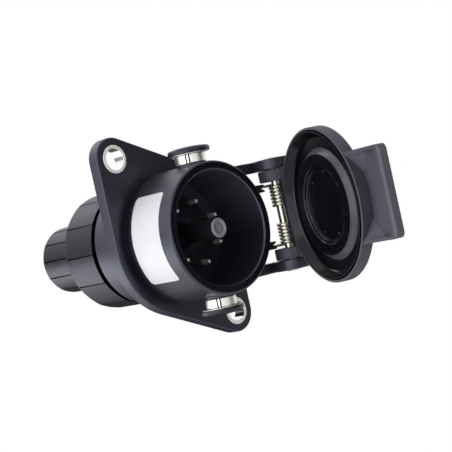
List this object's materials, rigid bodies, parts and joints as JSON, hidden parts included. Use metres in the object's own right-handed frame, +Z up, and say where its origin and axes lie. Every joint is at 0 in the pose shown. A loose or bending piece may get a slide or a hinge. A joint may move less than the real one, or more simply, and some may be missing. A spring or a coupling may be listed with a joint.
{
  "type": "trailer socket",
  "caption": "Round panel-mounted trailer power socket with a two-eared flange, pin contacts, locking pegs, rear cable gland and a spring-hinged lid with a pull tab.",
  "frame": {"origin": "barrel axis at the flange's mounting face", "axes": "+X to the hinge side, +Y to the rear (the mouth faces -Y), +Z up along the hinge pin"},
  "size_m": [0.0734, 0.1743, 0.0856],
  "materials": {
    "housing_plastic": "moulded, fine matte",
    "cap_plastic": "moulded, satin",
    "insert_plastic": "moulded, matte",
    "label_film": "satin film",
    "seal_rubber": "soft matte",
    "plated_steel": "bright plated",
    "spring_steel": "drawn wire",
    "contact_metal": "nickel plated brass"
  },
  "bodies": {
    "socket": {"housing": "housing_plastic", "mounting_bush_upper": "plated_steel", "mounting_bush_lower": "plated_steel", "label": "label_film", "contact_insert": "insert_plastic", "guide_post": "insert_plastic", "contact_1": "contact_metal", "contact_2": "contact_metal", "contact_3": "contact_metal", "contact_4": "contact_metal", "contact_5": "contact_metal", "contact_6": "contact_metal", "contact_7": "contact_metal", "terminal_screws": "plated_steel", "insert_ring": "insert_plastic", "rear_seal": "seal_rubber", "rear_cap": "cap_plastic", "gland_seal": "seal_rubber", "gland_washer": "plated_steel", "gland_nut": "cap_plastic", "peg_washer_upper": "plated_steel", "peg_cap_upper": "cap_plastic", "peg_washer_lower": "plated_steel", "peg_cap_lower": "cap_plastic", "hinge_pin": "spring_steel", "lid_spring": "spring_steel"},
    "cover": {"lid": "housing_plastic", "lid_seal": "seal_rubber"},
    "upper_sleeve": {"peg_roller_upper": "plated_steel"},
    "lower_sleeve": {"peg_roller_lower": "plated_steel"}
  },
  "joints": [
    {"name": "lid_hinge", "type": "hinge", "parent": "socket", "child": "cover", "pos_m": [0.0352, -0.03005, 0], "axis": [0, 0, 1], "range_deg": [-71.3, 38.7], "deforming": ["lid_spring"]},
    {"name": "peg_turn_upper", "type": "hinge", "parent": "socket", "child": "upper_sleeve", "pos_m": [0, -0.0226, 0.028], "axis": [0, 0, 1], "continuous": true},
    {"name": "peg_turn_lower", "type": "hinge", "parent": "socket", "child": "lower_sleeve", "pos_m": [0, -0.0226, -0.028], "axis": [0, 0, 1], "continuous": true}
  ]
}
